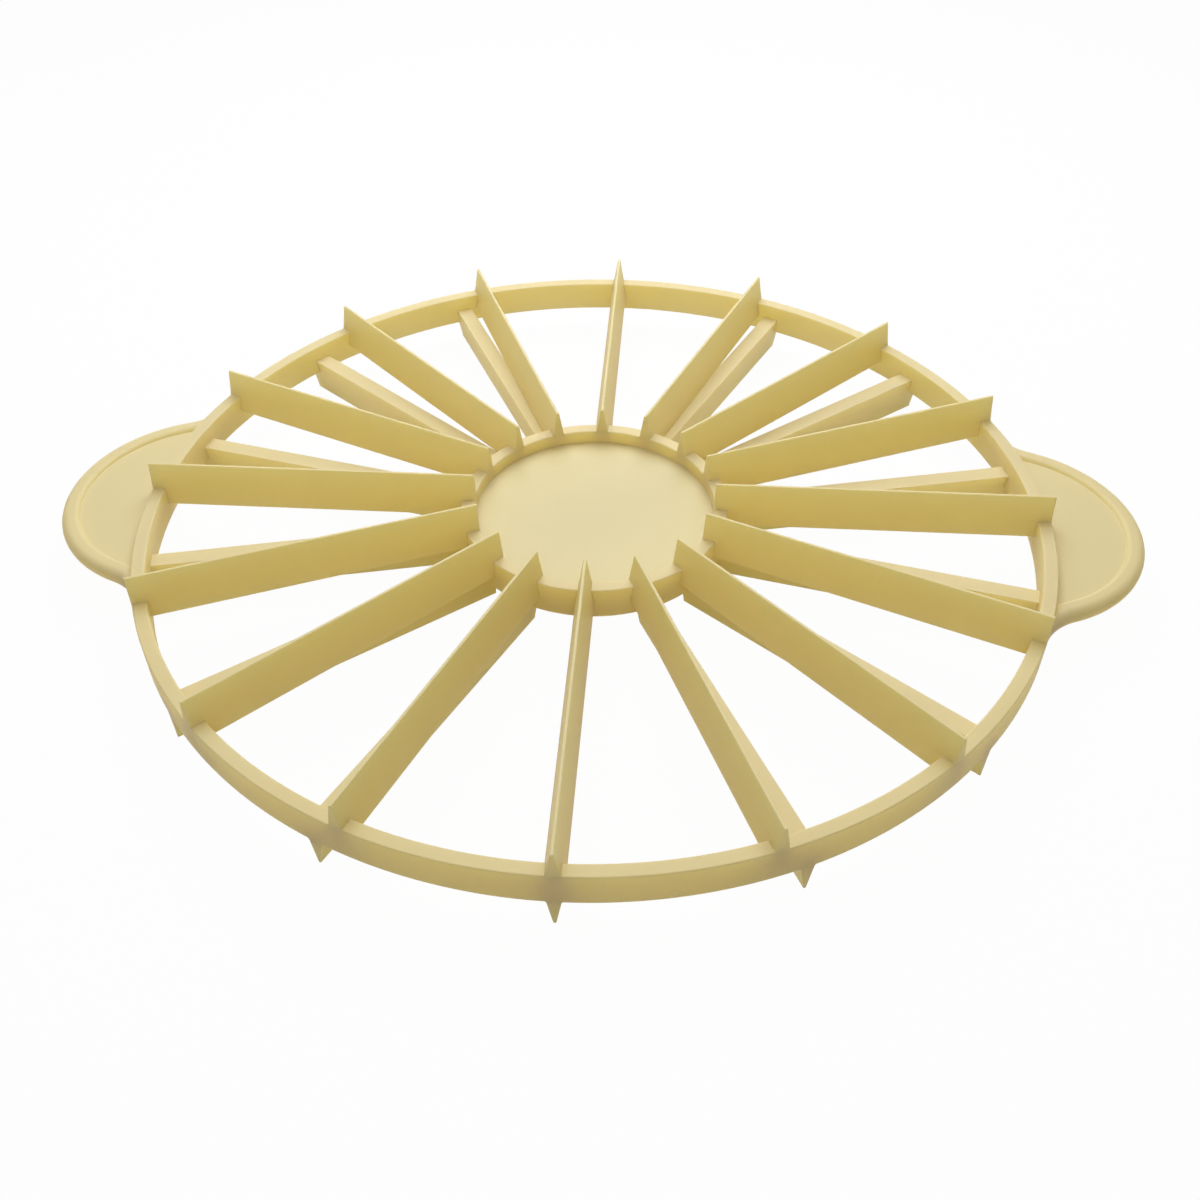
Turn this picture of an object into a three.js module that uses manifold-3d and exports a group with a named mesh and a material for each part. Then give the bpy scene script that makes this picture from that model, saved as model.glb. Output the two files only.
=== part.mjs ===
// Two-sided cake portion marker: sixteen upper blades and fourteen lower blades carried by
// a rim ring and a dished hub, with a half-moon handle on each side.
// Millimetres, +Z up, origin on the ground under the centre, handles along X.

import * as THREE from 'three';
import { mergeVertices } from 'three/addons/utils/BufferGeometryUtils.js';
import Module from 'manifold-3d';

const wasm = await Module();
wasm.setup();

// Rim ring
const RIM_OUTER_RADIUS = 135;
const RIM_WALL = 4;
const RIM_HEIGHT = 10;

// Dished hub: a ring wall round a thin floor at the mid-plane
const HUB_OUTER_RADIUS = 40;
const HUB_WALL = 4;
const HUB_HEIGHT = 10;
const HUB_FLOOR = 1.6;

// Blades: wedge section, flat base at the mid-plane, narrow flat land at the cutting edge
const BLADE_DEPTH = 13.2;
const BLADE_BASE = 5.4;
const BLADE_LAND = 0.8;
const UPPER_PORTIONS = 16;
const LOWER_PORTIONS = 14;

// Handles: half-moon plate with a rounded bead along its edge, filleted into the rim
const HANDLE_REACH = 27.5;
const HANDLE_ARC_RADIUS = 40.5;
const HANDLE_FILLET_RADIUS = 19;
const HANDLE_FILLET_STOP_DEG = 16;
const HANDLE_RUN_OUT = 10;
const PLATE_THICKNESS = 3;
const BEAD_WIDTH = 5.6;
const BEAD_HEIGHT = 5.4;
const BEAD_ROUNDING = 2.2;

// Clearance left between neighbouring pieces
const JOIN_GAP = 0.3;

// How far a cutting body runs past the face that it cuts
const OVERCUT = 2;

// Facets round each curve
const RING_FACETS = 144;
const HUB_FACETS = 96;
const HANDLE_ARC_FACETS = 32;
const FILLET_FACETS = 8;
const BEAD_FACETS = 4;

// Moulded ivory plastic
const IVORY = 0xe4d6a3;
const IVORY_ROUGHNESS = 0.48;

const MID_PLANE = BLADE_DEPTH;
const RIM_INNER_RADIUS = RIM_OUTER_RADIUS - RIM_WALL;
const HUB_INNER_RADIUS = HUB_OUTER_RADIUS - HUB_WALL;
const HALF_GAP = JOIN_GAP / 2;
const QUARTER_TURN = Math.PI / 2;

function toSolid(geometry) {
  const bare = geometry.clone();
  bare.deleteAttribute('normal');
  bare.deleteAttribute('uv');
  const welded = mergeVertices(bare);
  const vertProperties = new Float32Array(welded.attributes.position.array);
  const triVerts = new Uint32Array(welded.index.array);
  return new wasm.Manifold(new wasm.Mesh({ numProp: 3, vertProperties, triVerts }));
}

function toGeometry(solid) {
  const mesh = solid.getMesh();
  const geometry = new THREE.BufferGeometry();
  geometry.setAttribute('position', new THREE.BufferAttribute(mesh.vertProperties, 3));
  geometry.setIndex(new THREE.BufferAttribute(mesh.triVerts, 1));
  geometry.computeVertexNormals();
  return geometry;
}

// A ring of rectangular section, centred on the mid-plane
function ringGeometry(inner, outer, height, facets) {
  const half = height / 2;
  const profile = [
    new THREE.Vector2(inner, -half),
    new THREE.Vector2(outer, -half),
    new THREE.Vector2(outer, half),
    new THREE.Vector2(inner, half),
    new THREE.Vector2(inner, -half),
  ];
  return new THREE.LatheGeometry(profile, facets).rotateX(QUARTER_TURN);
}

// A plain upright disc, centred on the mid-plane
function discGeometry(radius, height, facets) {
  return new THREE.CylinderGeometry(radius, radius, height, facets).rotateX(QUARTER_TURN);
}

// One blade pointing along +X with its base at the mid-plane and its edge up.
// It stands between hub and rim, and laps over the tops of both.
function bladeGeometry() {
  const rimTop = RIM_HEIGHT / 2 + JOIN_GAP;
  const hubTop = HUB_HEIGHT / 2 + JOIN_GAP;
  const hubFace = HUB_OUTER_RADIUS + JOIN_GAP;
  const rimFace = RIM_INNER_RADIUS - JOIN_GAP;
  const pastEdge = BLADE_DEPTH + OVERCUT;

  const side = new THREE.Shape();
  side.moveTo(hubFace, HALF_GAP);
  side.lineTo(rimFace, HALF_GAP);
  side.lineTo(rimFace, rimTop);
  side.lineTo(RIM_OUTER_RADIUS, rimTop);
  side.lineTo(RIM_OUTER_RADIUS, pastEdge);
  side.lineTo(HUB_INNER_RADIUS, pastEdge);
  side.lineTo(HUB_INNER_RADIUS, hubTop);
  side.lineTo(hubFace, hubTop);
  side.closePath();
  const slabWidth = BLADE_BASE + OVERCUT;
  const slab = new THREE.ExtrudeGeometry(side, { depth: slabWidth, bevelEnabled: false });
  slab.rotateX(QUARTER_TURN).translate(0, slabWidth / 2, 0);

  const section = new THREE.Shape();
  section.moveTo(-BLADE_BASE / 2, 0);
  section.lineTo(BLADE_BASE / 2, 0);
  section.lineTo(BLADE_LAND / 2, BLADE_DEPTH);
  section.lineTo(-BLADE_LAND / 2, BLADE_DEPTH);
  section.closePath();
  const wedgeLength = RIM_OUTER_RADIUS + OVERCUT;
  const wedge = new THREE.ExtrudeGeometry(section, { depth: wedgeLength, bevelEnabled: false });
  wedge.rotateX(QUARTER_TURN).rotateZ(QUARTER_TURN);

  return toGeometry(toSolid(slab).intersect(toSolid(wedge)));
}

// Points of the handle's edge in plan, drawn inwards from its outer edge by an inset:
// straight run out of the rim, lower fillet, half-moon arc, upper fillet, straight run into the rim.
function handleEdge(inset) {
  const arcX = RIM_OUTER_RADIUS + HANDLE_REACH - HANDLE_ARC_RADIUS;
  const fromRim = RIM_OUTER_RADIUS + HANDLE_FILLET_RADIUS;
  const fromArc = HANDLE_ARC_RADIUS + HANDLE_FILLET_RADIUS;
  const filletX = (fromRim ** 2 - fromArc ** 2 + arcX ** 2) / (2 * arcX);
  const filletY = Math.sqrt(fromRim ** 2 - filletX ** 2);
  const arcEnd = Math.atan2(filletY, filletX - arcX);
  const atArc = Math.atan2(filletY, arcX - filletX);
  const atRim = Math.atan2(filletY, -filletX) - THREE.MathUtils.degToRad(HANDLE_FILLET_STOP_DEG);

  const lower = [];
  const filletRadius = HANDLE_FILLET_RADIUS + inset;
  for (let i = 0; i < FILLET_FACETS; i += 1) {
    const angle = atRim + ((atArc - atRim) * i) / FILLET_FACETS;
    const x = filletX + filletRadius * Math.cos(angle);
    const y = -filletY + filletRadius * Math.sin(angle);
    lower.push(new THREE.Vector2(x, y));
  }
  const runX = lower[0].x - HANDLE_RUN_OUT * Math.sin(atRim);
  const runY = lower[0].y + HANDLE_RUN_OUT * Math.cos(atRim);
  lower.unshift(new THREE.Vector2(runX, runY));

  const arc = [];
  const arcRadius = HANDLE_ARC_RADIUS - inset;
  for (let i = 0; i <= HANDLE_ARC_FACETS; i += 1) {
    const angle = arcEnd * ((2 * i) / HANDLE_ARC_FACETS - 1);
    arc.push(new THREE.Vector2(arcX + arcRadius * Math.cos(angle), arcRadius * Math.sin(angle)));
  }
  const upper = lower.map((point) => new THREE.Vector2(point.x, -point.y)).reverse();
  return [...lower, ...arc, ...upper];
}

// The right handle, centred on the mid-plane
function handleGeometry() {
  const band = new THREE.Shape([...handleEdge(0), ...handleEdge(BEAD_WIDTH).reverse()]);
  const straight = BEAD_HEIGHT - 2 * BEAD_ROUNDING;
  const beadShape = new THREE.ExtrudeGeometry(band, {
    depth: straight,
    bevelThickness: BEAD_ROUNDING,
    bevelSize: BEAD_ROUNDING,
    bevelOffset: -BEAD_ROUNDING,
    bevelSegments: BEAD_FACETS,
  });
  beadShape.translate(0, 0, -straight / 2);

  const web = new THREE.Shape(handleEdge(BEAD_WIDTH / 2));
  const plateShape = new THREE.ExtrudeGeometry(web, { depth: PLATE_THICKNESS, bevelEnabled: false });
  plateShape.translate(0, 0, -PLATE_THICKNESS / 2);

  const rimRoom = discGeometry(RIM_OUTER_RADIUS + JOIN_GAP, RIM_HEIGHT + OVERCUT, RING_FACETS);
  return toGeometry(toSolid(beadShape).add(toSolid(plateShape)).subtract(toSolid(rimRoom)));
}

const part = new THREE.Group();
part.name = 'cake_portion_marker';

function addPiece(name, geometry, turn) {
  const material = new THREE.MeshStandardMaterial({
    color: IVORY,
    roughness: IVORY_ROUGHNESS,
    metalness: 0,
  });
  const piece = new THREE.Mesh(geometry, material);
  piece.name = name;
  piece.position.z = MID_PLANE;
  piece.rotation.z = turn;
  part.add(piece);
}

// Blade number one stands at the back of both sides, and the numbers run clockwise from above
function addBlades(prefix, count, geometry) {
  for (let i = 0; i < count; i += 1) {
    const turn = QUARTER_TURN - (i * 2 * Math.PI) / count;
    addPiece(`${prefix}_${String(i + 1).padStart(2, '0')}`, geometry, turn);
  }
}

const rim = ringGeometry(RIM_INNER_RADIUS, RIM_OUTER_RADIUS, RIM_HEIGHT, RING_FACETS);
const hubRing = ringGeometry(HUB_INNER_RADIUS, HUB_OUTER_RADIUS, HUB_HEIGHT, HUB_FACETS);
const hubFloor = discGeometry(HUB_INNER_RADIUS - JOIN_GAP, HUB_FLOOR, HUB_FACETS);
const upperBlade = bladeGeometry();
const lowerBlade = upperBlade.clone().rotateX(Math.PI);
const handle = handleGeometry();

addPiece('rim_ring', toGeometry(toSolid(rim)), 0);
addPiece('hub_ring', toGeometry(toSolid(hubRing)), 0);
addPiece('hub_floor', toGeometry(toSolid(hubFloor)), 0);
addPiece('handle_right', handle, 0);
addPiece('handle_left', handle, Math.PI);
addBlades('upper_blade', UPPER_PORTIONS, upperBlade);
addBlades('lower_blade', LOWER_PORTIONS, lowerBlade);

export default part;
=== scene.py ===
import math

import bmesh
import bpy
from mathutils import Matrix, Vector


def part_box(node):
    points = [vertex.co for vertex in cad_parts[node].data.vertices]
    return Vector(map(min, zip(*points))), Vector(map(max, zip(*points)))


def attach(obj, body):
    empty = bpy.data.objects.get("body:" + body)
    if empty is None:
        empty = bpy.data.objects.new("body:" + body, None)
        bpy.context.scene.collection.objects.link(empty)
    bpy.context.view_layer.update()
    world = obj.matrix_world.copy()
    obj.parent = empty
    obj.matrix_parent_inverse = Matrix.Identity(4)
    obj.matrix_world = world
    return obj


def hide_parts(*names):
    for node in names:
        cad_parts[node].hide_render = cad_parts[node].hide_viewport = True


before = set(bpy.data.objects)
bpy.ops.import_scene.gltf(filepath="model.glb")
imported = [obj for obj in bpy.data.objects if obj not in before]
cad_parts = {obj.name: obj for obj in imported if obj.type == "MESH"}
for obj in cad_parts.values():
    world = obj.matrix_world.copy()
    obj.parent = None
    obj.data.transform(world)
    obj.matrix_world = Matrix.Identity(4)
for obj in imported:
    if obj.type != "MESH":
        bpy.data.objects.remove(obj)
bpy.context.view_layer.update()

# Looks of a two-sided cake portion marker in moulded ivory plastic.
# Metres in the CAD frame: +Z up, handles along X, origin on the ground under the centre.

MM = 0.001
QUARTER_TURN = math.pi / 2
HALF_TURN = math.pi
FULL_TURN = 2 * math.pi

# Sizes that the solids carry
RIM_LOW, RIM_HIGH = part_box("rim_ring")
HUB_LOW, HUB_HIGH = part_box("hub_ring")
FLOOR_LOW, FLOOR_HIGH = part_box("hub_floor")
HANDLE_LOW, HANDLE_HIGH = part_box("handle_right")
BLADE_LOW, BLADE_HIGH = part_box("upper_blade_05")
RIM_RADIUS = RIM_HIGH.x
HUB_RADIUS = HUB_HIGH.x
HUB_BORE = BLADE_LOW.x
FLOOR_HALF = (FLOOR_HIGH.z - FLOOR_LOW.z) / 2
BEAD_HALF = (HANDLE_HIGH.z - HANDLE_LOW.z) / 2
MID = (RIM_LOW.z + RIM_HIGH.z) / 2
RING_HALF = RIM_HIGH.z - MID
BLADE_DEPTH = BLADE_HIGH.z - MID
UPPER_COUNT = sum(name.startswith("upper_blade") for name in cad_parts)
LOWER_COUNT = sum(name.startswith("lower_blade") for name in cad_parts)

# Sizes of the moulding's walls
RIM_WALL = 4.0 * MM
RIM_BORE = RIM_RADIUS - RIM_WALL
BLADE_BASE = 5.4 * MM
BLADE_LAND = 0.8 * MM
HANDLE_ARC = 40.5 * MM
HANDLE_FILLET = 19.0 * MM
PLATE_HALF = 1.5 * MM
BEAD_WIDTH = 5.6 * MM

# Softness of the moulding's edges and corners
RING_EDGE = 0.45 * MM
BLADE_EDGE = 0.22 * MM
FLOOR_FILLET = 0.2 * MM
ROOT_FILLET = 0.25 * MM
BEAD_SHOULDER = 1.6 * MM
BEAD_ROOT = 0.25 * MM

# Clearance between neighbouring pieces, too fine to be seen
HAIR = 0.01 * MM

# Smoothness of the curves; faces that meet at more than the crease angle keep a sharp edge
RING_STEPS = 288
EDGE_STEPS = 4
ARC_STEPS = 72
FILLET_STEPS = 20
BEAD_STEPS = 14
CREASE = math.radians(50)
NORMAL_WEIGHT = 100

# Surface of the plastic; the scales of its noises are per metre
TONE_NOISE = {"Scale": 28.0, "Detail": 3.0, "Roughness": 0.5}
TONE_STOPS = ((0.3, (0.740, 0.670, 0.445, 1.0)), (0.7, (0.770, 0.700, 0.476, 1.0)))
SHEEN_NOISE = {"Scale": 160.0, "Detail": 4.0, "Roughness": 0.6}
SHEEN_ROUGHNESS = {"To_Min": 0.40, "To_Max": 0.52}
GRAIN_NOISE = {"Scale": 2600.0, "Detail": 2.0, "Roughness": 0.6}
GRAIN_BUMP = {"Strength": 0.25, "Distance": 0.02 * MM}
SPECULAR_LEVEL = 0.25

# Light that passes through the plastic, and the tone that it takes on with depth
PASSED_SHARE = 0.25
PASSED_COLOUR = (0.97, 0.90, 0.52, 1.0)
DEPTH_COLOUR = (0.967, 0.885, 0.0, 1.0)
DEPTH_DENSITY = 450.0

# Camera of the photograph
EYE = Vector((22.66, -300.74, 257.18)) * MM
AIM = Vector((4.20, -38.10, 13.20)) * MM
ROLL = math.radians(-0.344)
LENS = 38.267
SENSOR = 36.0
CLIP_START = 0.01
CLIP_END = 50.0

# Studio: a pale floor, white to the camera but for a faint shadow, and a dim white fill
WHITE = (1.0, 1.0, 1.0, 1.0)
FLOOR_GREY = (0.8, 0.8, 0.8, 1.0)
FLOOR_REACH = 3.0
FLOOR_WHITE_SHARE = 0.97
FILL_STRENGTH = 0.07

# Soft boxes: three near ones of one size and height, and a large one far in front; powers in watts
NEAR_SIZE = 0.45
NEAR_REACH = 0.30
NEAR_HEIGHT = 0.45
KEY_POWER = 2.80
LEFT_POWER = 0.42
RIGHT_POWER = 0.10
FRONT_SIZE = 2.4
FRONT_PLACE = (0.25, -1.68, 1.71)
FRONT_POWER = 8.6


def closed_mesh(name, points, faces):
    """Mesh with outward faces, smooth but for its creases."""
    mesh = bpy.data.meshes.new(name)
    mesh.from_pydata([tuple(p) for p in points], [], faces)
    mesh.validate()
    work = bmesh.new()
    work.from_mesh(mesh)
    bmesh.ops.recalc_face_normals(work, faces=work.faces)
    work.to_mesh(mesh)
    work.free()
    mesh.shade_smooth()
    mesh.set_sharp_from_angle(angle=CREASE)
    return mesh


def even_normals(piece):
    """Keeps flat faces flat beside their rounded edges."""
    modifier = piece.modifiers.new("even_normals", "WEIGHTED_NORMAL")
    modifier.weight = NORMAL_WEIGHT
    modifier.keep_sharp = True


def add_piece(name, points, faces, replaced):
    """Adds a piece of the moulding, on the only body, in place of one CAD node."""
    mesh = closed_mesh(name, points, faces)
    mesh.materials.append(PLASTIC)
    piece = bpy.data.objects.new(name, mesh)
    bpy.context.scene.collection.objects.link(piece)
    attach(piece, "root")
    even_normals(piece)
    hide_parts(replaced)


def arc_points(centre, radius, start, end, steps):
    """Points of a circular arc, both ends included; angles in radians."""
    points = []
    for i in range(steps + 1):
        angle = start + (end - start) * i / steps
        points.append((centre[0] + radius * math.cos(angle), centre[1] + radius * math.sin(angle)))
    return points


def revolve(section, closed):
    """Points and faces of a section, radius and height, turned about the upright axis."""
    points = []
    faces = []
    count = len(section)
    for i in range(RING_STEPS):
        turn = FULL_TURN * i / RING_STEPS
        points += [(r * math.cos(turn), r * math.sin(turn), z) for r, z in section]
        here = i * count
        there = ((i + 1) % RING_STEPS) * count
        for k in range(count if closed else count - 1):
            after = (k + 1) % count
            faces.append((here + k, here + after, there + after, there + k))
    return points, faces


def ring_section(inner, outer, low, high):
    """Section of a ring wall, radius and height, with four rounded corners."""
    corners = [
        ((outer - RING_EDGE, low + RING_EDGE), -QUARTER_TURN),
        ((outer - RING_EDGE, high - RING_EDGE), 0.0),
        ((inner + RING_EDGE, high - RING_EDGE), QUARTER_TURN),
        ((inner + RING_EDGE, low + RING_EDGE), HALF_TURN),
    ]
    section = []
    for centre, start in corners:
        section += arc_points(centre, RING_EDGE, start, start + QUARTER_TURN, EDGE_STEPS)
    return section


def make_ring(name, inner, outer, low, high, replaced):
    points, faces = revolve(ring_section(inner, outer, low, high), True)
    add_piece(name, points, faces, replaced)


def make_hub_floor():
    """Thin web of the dish, with a soft fillet where it runs up the wall on both sides."""
    wall = HUB_BORE - HAIR
    rise = FLOOR_HALF + FLOOR_FILLET
    upper = arc_points((wall - FLOOR_FILLET, rise), FLOOR_FILLET, -QUARTER_TURN, 0.0, EDGE_STEPS)
    side = upper + [(r, -z) for r, z in reversed(upper)]
    points, faces = revolve([(r, MID + z) for r, z in side], False)
    for first in (0, len(side) - 1):
        faces.append(tuple(range(first, len(points), len(side))))
    add_piece("hub_web", points, faces, "hub_floor")


def round_gaps(radius):
    """Distances from a border across a quarter round, even in angle."""
    return [radius * (1 - math.cos(QUARTER_TURN * k / EDGE_STEPS)) for k in range(EDGE_STEPS + 1)]


def quarter_round(reach, radius):
    """Drop of a quarter round, a reach into it."""
    return radius - math.sqrt(radius ** 2 - min(reach, radius) ** 2)


def ring_gap(radius, height, inner, outer):
    """Distance from a point of a blade's side to the section of the rim or the hub."""
    across = max(inner - radius, radius - outer, 0.0)
    above = max(height - RING_HALF, 0.0)
    return math.hypot(across, above)


def ring_top(radius):
    """Height of a ring's rounded top under a blade, or None between the hub and the rim."""
    for inner, outer in ((HUB_BORE, HUB_RADIUS), (RIM_BORE, RIM_RADIUS)):
        if inner - HAIR < radius < outer + HAIR:
            reach = max(inner + RING_EDGE - radius, radius - outer + RING_EDGE, 0.0)
            return RING_HALF - RING_EDGE + math.sqrt((RING_EDGE + HAIR) ** 2 - reach ** 2)
    return None


def blade_half(radius, height):
    """Half thickness of a blade: a wedge with small root fillets and soft edges."""
    wedge = (BLADE_BASE + (BLADE_LAND - BLADE_BASE) * height / BLADE_DEPTH) / 2
    to_rim = ring_gap(radius, height, RIM_BORE, RIM_RADIUS)
    to_hub = ring_gap(radius, height, HUB_BORE, HUB_RADIUS)
    root = quarter_round(max(ROOT_FILLET - min(to_rim, to_hub), 0.0), ROOT_FILLET)
    to_end = min(RIM_RADIUS - radius, radius - HUB_BORE)
    to_edge = min(BLADE_DEPTH - height, height)
    corner = math.hypot(max(BLADE_EDGE - to_end, 0.0), max(BLADE_EDGE - to_edge, 0.0))
    return wedge + root - quarter_round(corner, BLADE_EDGE)


def blade_stations():
    """Radii along a blade, close together at its ends, over the rings' edges and at its roots."""
    ends = round_gaps(BLADE_EDGE)
    edges = round_gaps(RING_EDGE)
    roots = round_gaps(ROOT_FILLET)
    over_hub = [HUB_BORE + gap for gap in ends + edges] + [HUB_RADIUS + HAIR - gap for gap in edges]
    over_rim = [RIM_RADIUS - gap for gap in ends + edges] + [RIM_BORE - HAIR + gap for gap in edges]
    between = [HUB_RADIUS + HAIR + gap for gap in roots] + [RIM_BORE - HAIR - gap for gap in roots]
    return sorted(set(over_hub + between + over_rim))


def blade_levels():
    """Heights across a blade from its base to the rings' edges, and from there to its land."""
    edges = round_gaps(BLADE_EDGE)
    leg = [HAIR + gap for gap in edges] + [RING_HALF - RING_EDGE]
    root = [RING_HALF + gap for gap in round_gaps(ROOT_FILLET)[1:]]
    land = [BLADE_DEPTH - gap for gap in reversed(edges)]
    return leg, root + land


def blade_points(turn, up):
    """Points of a blade along a spoke, and their numbers by side, station and level.

    Its base lies at the mid-plane, and its ends ride over the hub and the rim.
    """
    leg, upper = blade_levels()
    spoke = Matrix.Translation((0, 0, MID)) @ Matrix.Rotation(turn, 4, "Z")
    points = []
    numbers = {}
    for side in (-1, 1):
        for k, radius in enumerate(blade_stations()):
            top = ring_top(radius)
            heights = leg + upper if top is None else [None] * (len(leg) - 1) + [top] + upper
            for i, height in enumerate(heights):
                if height is None:
                    continue
                across = side * blade_half(radius, height)
                along = math.sqrt(radius ** 2 - across ** 2)
                numbers[side, k, i] = len(points)
                points.append(spoke @ Vector((along, across, up * height)))
    return points, numbers


def blade_faces(numbers):
    """Both sides of a blade, and the strip along their border that closes it."""
    last_station = max(k for side, k, i in numbers)
    last_level = max(i for side, k, i in numbers)
    faces = []
    border = {}
    for k in range(last_station):
        for i in range(last_level):
            corners = [(k, i), (k + 1, i), (k + 1, i + 1), (k, i + 1)]
            if any((1, *corner) not in numbers for corner in corners):
                continue
            for side in (-1, 1):
                faces.append([numbers[side, *corner] for corner in corners])
            for start, end in zip(corners, corners[1:] + corners[:1]):
                edge = frozenset((start, end))
                if edge in border:
                    del border[edge]
                else:
                    border[edge] = (start, end)
    for start, end in border.values():
        faces.append([numbers[-1, *start], numbers[-1, *end], numbers[1, *end], numbers[1, *start]])
    return faces


def make_blades(prefix, count, up):
    """Blades of one side, clockwise from the back as seen from above."""
    for i in range(count):
        turn = QUARTER_TURN - FULL_TURN * i / count
        replaced = f"{prefix}_{i + 1:02d}"
        points, numbers = blade_points(turn, up)
        add_piece("moulded_" + replaced, points, blade_faces(numbers), replaced)


def handle_line(inset):
    """Plan points of the handle's edge, moved inwards by an inset, from rim to rim."""
    arc_x = HANDLE_HIGH.x - HANDLE_ARC
    to_rim = RIM_RADIUS + HANDLE_FILLET
    to_arc = HANDLE_ARC + HANDLE_FILLET
    fillet_x = (to_rim ** 2 - to_arc ** 2 + arc_x ** 2) / (2 * arc_x)
    fillet_y = math.sqrt(to_rim ** 2 - fillet_x ** 2)
    arc_end = math.atan2(fillet_y, fillet_x - arc_x)
    at_arc = math.atan2(fillet_y, arc_x - fillet_x)
    to_middle = math.atan2(fillet_y, -fillet_x)
    radius = HANDLE_FILLET + inset
    stop = RIM_RADIUS + HAIR
    swing = (to_rim ** 2 + radius ** 2 - stop ** 2) / (2 * to_rim * radius)
    at_rim = to_middle - math.acos(min(swing, 1.0))
    lower = arc_points((fillet_x, -fillet_y), radius, at_rim, at_arc, FILLET_STEPS)[:-1]
    arc = arc_points((arc_x, 0.0), HANDLE_ARC - inset, -arc_end, arc_end, ARC_STEPS)
    upper = [(x, -y) for x, y in reversed(lower)]
    return lower + arc + upper


def bead_section():
    """Inset and half height across the handle's edge: nose, flat top, shoulder, root fillet, plate."""
    shoulder = BEAD_WIDTH - BEAD_SHOULDER
    turn = BEAD_HALF - BEAD_SHOULDER
    root_height = PLATE_HALF + BEAD_ROOT
    rise = root_height - turn
    foot = shoulder + math.sqrt((BEAD_SHOULDER + BEAD_ROOT) ** 2 - rise ** 2)
    lean = math.atan2(rise, foot - shoulder)
    nose = arc_points((BEAD_HALF, 0.0), BEAD_HALF, HALF_TURN, QUARTER_TURN, BEAD_STEPS)
    inner = arc_points((shoulder, turn), BEAD_SHOULDER, QUARTER_TURN, lean, BEAD_STEPS)
    root = arc_points((foot, root_height), BEAD_ROOT, lean - HALF_TURN, -QUARTER_TURN, EDGE_STEPS)
    return nose + inner + root[1:] + [(foot + PLATE_HALF, PLATE_HALF)]


def handle_points():
    """Points of the right handle, with the numbers of its rows and of its end at the rim, by side."""
    section = bead_section()
    lines = [handle_line(inset) for inset, half in section]
    count = len(lines[0])
    points = []
    rows = {1: [], -1: []}
    for side in (1, -1):
        for line, (inset, half) in zip(lines, section):
            if line is lines[0] and side < 0:
                rows[side].append(rows[1][0])
                continue
            rows[side].append(list(range(len(points), len(points) + count)))
            points += [(x, y, MID + side * half) for x, y in line]
    end_x, end_y = lines[-1][-1]
    start = math.atan2(end_y, end_x)
    rim_arc = arc_points((0.0, 0.0), RIM_RADIUS + HAIR, start, -start, ARC_STEPS)[1:-1]
    at_rim = {}
    for side in (1, -1):
        at_rim[side] = list(range(len(points), len(points) + len(rim_arc)))
        points += [(x, y, MID + side * PLATE_HALF) for x, y in rim_arc]
    return points, rows, at_rim


def handle_faces(rows, at_rim):
    """Bead and plate on both sides of a handle, and the strip at the rim that closes it."""
    faces = []
    border = {}
    for side in (1, -1):
        for near, far in zip(rows[side], rows[side][1:]):
            faces += [(near[k], near[k + 1], far[k + 1], far[k]) for k in range(len(near) - 1)]
        faces.append(tuple(rows[side][-1] + at_rim[side]))
        last_ends = [row[-1] for row in rows[side]]
        first_ends = [row[0] for row in reversed(rows[side])]
        border[side] = last_ends + at_rim[side] + first_ends
    for k in range(len(border[1]) - 1):
        corners = (border[1][k], border[1][k + 1], border[-1][k + 1], border[-1][k])
        faces.append(tuple(dict.fromkeys(corners)))
    return faces


def make_handle(name, replaced, turn):
    """Half-moon plate with a rounded bead along its edge, filleted into the rim."""
    points, rows, at_rim = handle_points()
    spin = Matrix.Rotation(turn, 4, "Z")
    add_piece(name, [spin @ Vector(p) for p in points], handle_faces(rows, at_rim), replaced)


def add_node(tree, kind, **values):
    """Adds a shader node; values name its properties or its input sockets."""
    made = tree.nodes.new(kind)
    for key, value in values.items():
        if hasattr(made, key):
            setattr(made, key, value)
        else:
            made.inputs[key.replace("_", " ")].default_value = value
    return made


def add_noise(tree, place, values):
    """Socket of a noise that is fixed to the piece."""
    texture = add_node(tree, "ShaderNodeTexNoise", **values)
    tree.links.new(place, texture.inputs["Vector"])
    return texture.outputs["Fac"]


def dress_surface(tree, shader):
    """Faint drift of tone, uneven sheen and fine mould grain."""
    place = add_node(tree, "ShaderNodeTexCoord").outputs["Object"]

    tone = add_node(tree, "ShaderNodeValToRGB")
    for stop, (position, colour) in zip(tone.color_ramp.elements, TONE_STOPS):
        stop.position = position
        stop.color = colour
    tree.links.new(add_noise(tree, place, TONE_NOISE), tone.inputs["Fac"])
    tree.links.new(tone.outputs["Color"], shader.inputs["Base Color"])

    sheen = add_node(tree, "ShaderNodeMapRange", **SHEEN_ROUGHNESS)
    tree.links.new(add_noise(tree, place, SHEEN_NOISE), sheen.inputs["Value"])
    tree.links.new(sheen.outputs["Result"], shader.inputs["Roughness"])

    grain = add_node(tree, "ShaderNodeBump", **GRAIN_BUMP)
    tree.links.new(add_noise(tree, place, GRAIN_NOISE), grain.inputs["Height"])
    tree.links.new(grain.outputs["Normal"], shader.inputs["Normal"])

    shader.inputs["Specular IOR Level"].default_value = SPECULAR_LEVEL


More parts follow.
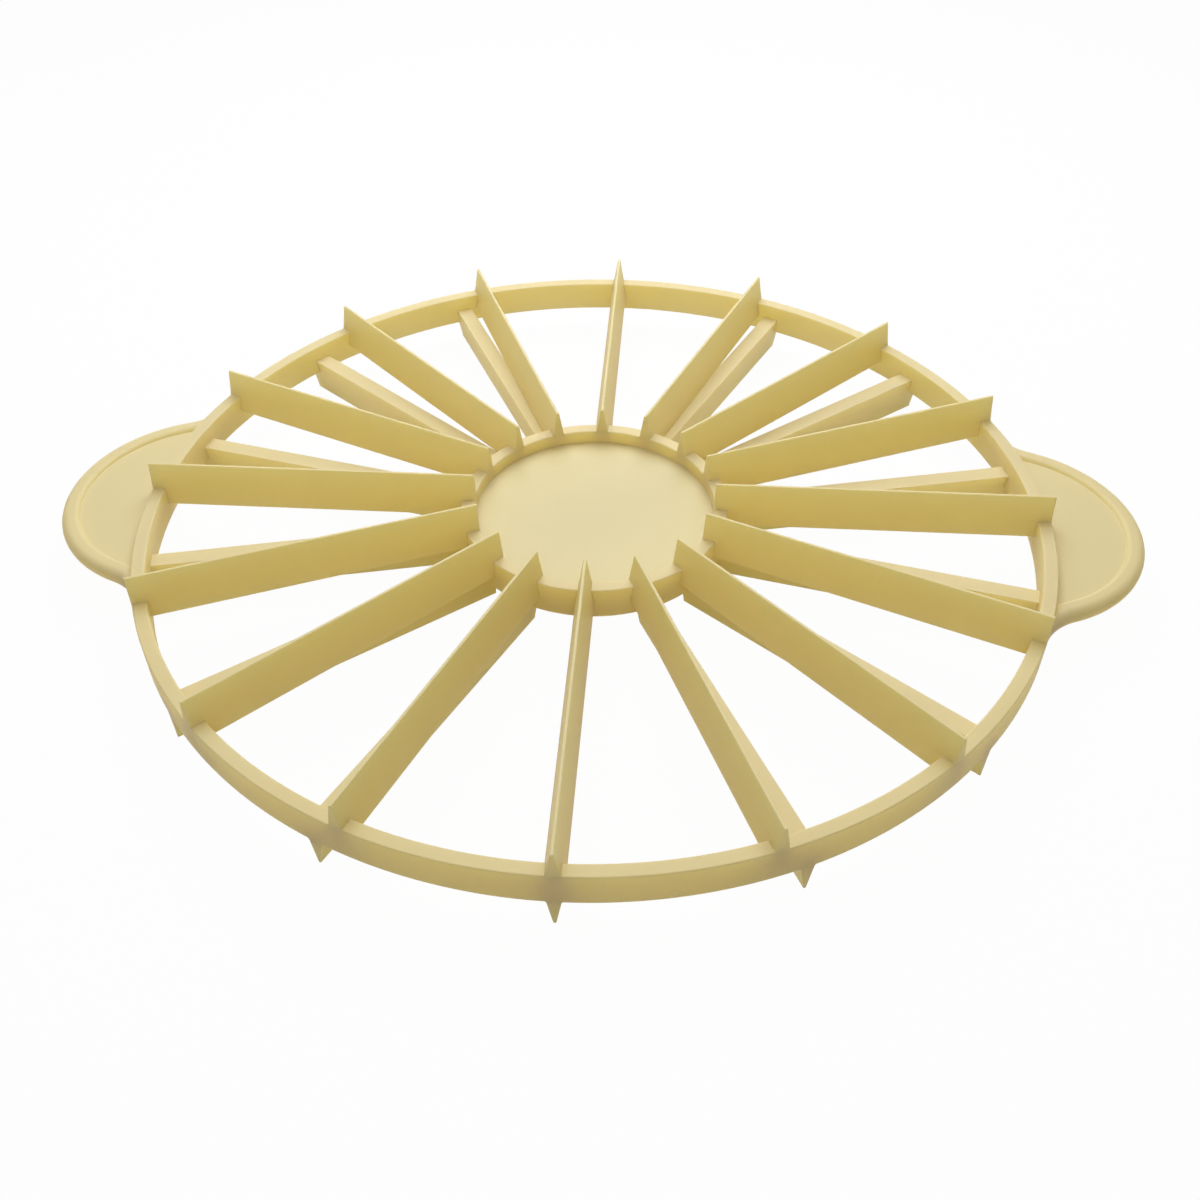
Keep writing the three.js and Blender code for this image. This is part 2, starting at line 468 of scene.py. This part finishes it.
def pass_light(tree, shader):
    """Lets a share of the light into the wall and all of it out again, and tints it on its way."""
    passed = add_node(tree, "ShaderNodeBsdfTranslucent", Color=PASSED_COLOUR)
    inside = add_node(tree, "ShaderNodeNewGeometry").outputs["Backfacing"]
    share = add_node(tree, "ShaderNodeMapRange", To_Min=PASSED_SHARE, To_Max=1.0)
    wall = add_node(tree, "ShaderNodeMixShader")
    depth = add_node(tree, "ShaderNodeVolumeAbsorption", Color=DEPTH_COLOUR, Density=DEPTH_DENSITY)
    output = tree.nodes["Material Output"]
    tree.links.new(inside, share.inputs["Value"])
    tree.links.new(share.outputs["Result"], wall.inputs["Fac"])
    tree.links.new(shader.outputs["BSDF"], wall.inputs[1])
    tree.links.new(passed.outputs["BSDF"], wall.inputs[2])
    tree.links.new(wall.outputs["Shader"], output.inputs["Surface"])
    tree.links.new(depth.outputs["Volume"], output.inputs["Volume"])


def moulded_plastic():
    """Satin ivory plastic, pale at its surface and at thin edges, golden where the light goes deep."""
    material = bpy.data.materials.new("moulded_ivory")
    material.use_nodes = True
    shader = material.node_tree.nodes["Principled BSDF"]
    dress_surface(material.node_tree, shader)
    pass_light(material.node_tree, shader)
    return material


def make_camera():
    camera = bpy.data.cameras.new("photo_camera")
    camera.sensor_width = SENSOR
    camera.lens = LENS
    camera.clip_start = CLIP_START
    camera.clip_end = CLIP_END
    holder = bpy.data.objects.new("photo_camera", camera)
    look = (AIM - EYE).to_track_quat("-Z", "Y").to_matrix().to_4x4()
    holder.matrix_world = Matrix.Translation(EYE) @ look @ Matrix.Rotation(ROLL, 4, "Z")
    bpy.context.scene.collection.objects.link(holder)
    bpy.context.scene.camera = holder


def seen_ray(tree):
    """Socket that is 1 for rays that show the background: camera, glossy and transmission rays."""
    path = add_node(tree, "ShaderNodeLightPath")
    first = add_node(tree, "ShaderNodeMath", operation="MAXIMUM")
    both = add_node(tree, "ShaderNodeMath", operation="MAXIMUM")
    tree.links.new(path.outputs["Is Camera Ray"], first.inputs[0])
    tree.links.new(path.outputs["Is Glossy Ray"], first.inputs[1])
    tree.links.new(first.outputs["Value"], both.inputs[0])
    tree.links.new(path.outputs["Is Transmission Ray"], both.inputs[1])
    return both.outputs["Value"]


def pale_floor():
    """White to the rays that show the background, with a faint shadow, and pale grey to the light."""
    material = bpy.data.materials.new("pale_floor")
    material.use_nodes = True
    tree = material.node_tree
    tree.nodes.clear()
    matt = add_node(tree, "ShaderNodeBsdfDiffuse", Color=FLOOR_GREY)
    white = add_node(tree, "ShaderNodeEmission", Color=WHITE, Strength=1.0)
    share = add_node(tree, "ShaderNodeMath", operation="MULTIPLY")
    share.inputs[1].default_value = FLOOR_WHITE_SHARE
    mix = add_node(tree, "ShaderNodeMixShader")
    output = add_node(tree, "ShaderNodeOutputMaterial")
    tree.links.new(seen_ray(tree), share.inputs[0])
    tree.links.new(share.outputs["Value"], mix.inputs["Fac"])
    tree.links.new(matt.outputs["BSDF"], mix.inputs[1])
    tree.links.new(white.outputs["Emission"], mix.inputs[2])
    tree.links.new(mix.outputs["Shader"], output.inputs["Surface"])
    return material


def make_floor():
    corners = [(x * FLOOR_REACH, y * FLOOR_REACH, 0.0) for x, y in ((-1, -1), (1, -1), (1, 1), (-1, 1))]
    mesh = bpy.data.meshes.new("studio_floor")
    mesh.from_pydata(corners, [], [(0, 1, 2, 3)])
    mesh.materials.append(pale_floor())
    floor = bpy.data.objects.new("studio_floor", mesh)
    bpy.context.scene.collection.objects.link(floor)


def make_world():
    """White to the rays that show the background; a dim even fill for the object."""
    world = bpy.data.worlds.new("studio")
    world.use_nodes = True
    tree = world.node_tree
    tree.nodes.clear()
    fill = add_node(tree, "ShaderNodeBackground", Color=WHITE, Strength=FILL_STRENGTH)
    white = add_node(tree, "ShaderNodeBackground", Color=WHITE, Strength=1.0)
    mix = add_node(tree, "ShaderNodeMixShader")
    output = add_node(tree, "ShaderNodeOutputWorld")
    tree.links.new(seen_ray(tree), mix.inputs["Fac"])
    tree.links.new(fill.outputs["Background"], mix.inputs[1])
    tree.links.new(white.outputs["Background"], mix.inputs[2])
    tree.links.new(mix.outputs["Shader"], output.inputs["Surface"])
    bpy.context.scene.world = world


def make_lamp(name, place, size, power):
    """Square soft box that faces the marker's centre."""
    light = bpy.data.lights.new(name, "AREA")
    light.shape = "SQUARE"
    light.size = size
    light.energy = power
    lamp = bpy.data.objects.new(name, light)
    lamp.location = place
    aim = Vector((0.0, 0.0, MID)) - lamp.location
    lamp.rotation_euler = aim.to_track_quat("-Z", "Y").to_euler()
    bpy.context.scene.collection.objects.link(lamp)


PLASTIC = moulded_plastic()
make_camera()
make_ring("moulded_rim", RIM_BORE, RIM_RADIUS, RIM_LOW.z, RIM_HIGH.z, "rim_ring")
make_ring("moulded_hub_wall", HUB_BORE, HUB_RADIUS, HUB_LOW.z, HUB_HIGH.z, "hub_ring")
make_hub_floor()
make_handle("moulded_grip_right", "handle_right", 0.0)
make_handle("moulded_grip_left", "handle_left", HALF_TURN)
make_blades("upper_blade", UPPER_COUNT, 1)
make_blades("lower_blade", LOWER_COUNT, -1)
make_floor()
make_world()
make_lamp("key_soft_box", (0.0, NEAR_REACH, NEAR_HEIGHT), NEAR_SIZE, KEY_POWER)
make_lamp("left_soft_box", (-NEAR_REACH, 0.0, NEAR_HEIGHT), NEAR_SIZE, LEFT_POWER)
make_lamp("right_soft_box", (NEAR_REACH, 0.0, NEAR_HEIGHT), NEAR_SIZE, RIGHT_POWER)
make_lamp("front_soft_box", FRONT_PLACE, FRONT_SIZE, FRONT_POWER)

bpy.context.scene.view_settings.view_transform = "Standard"

bpy.context.view_layer.update()
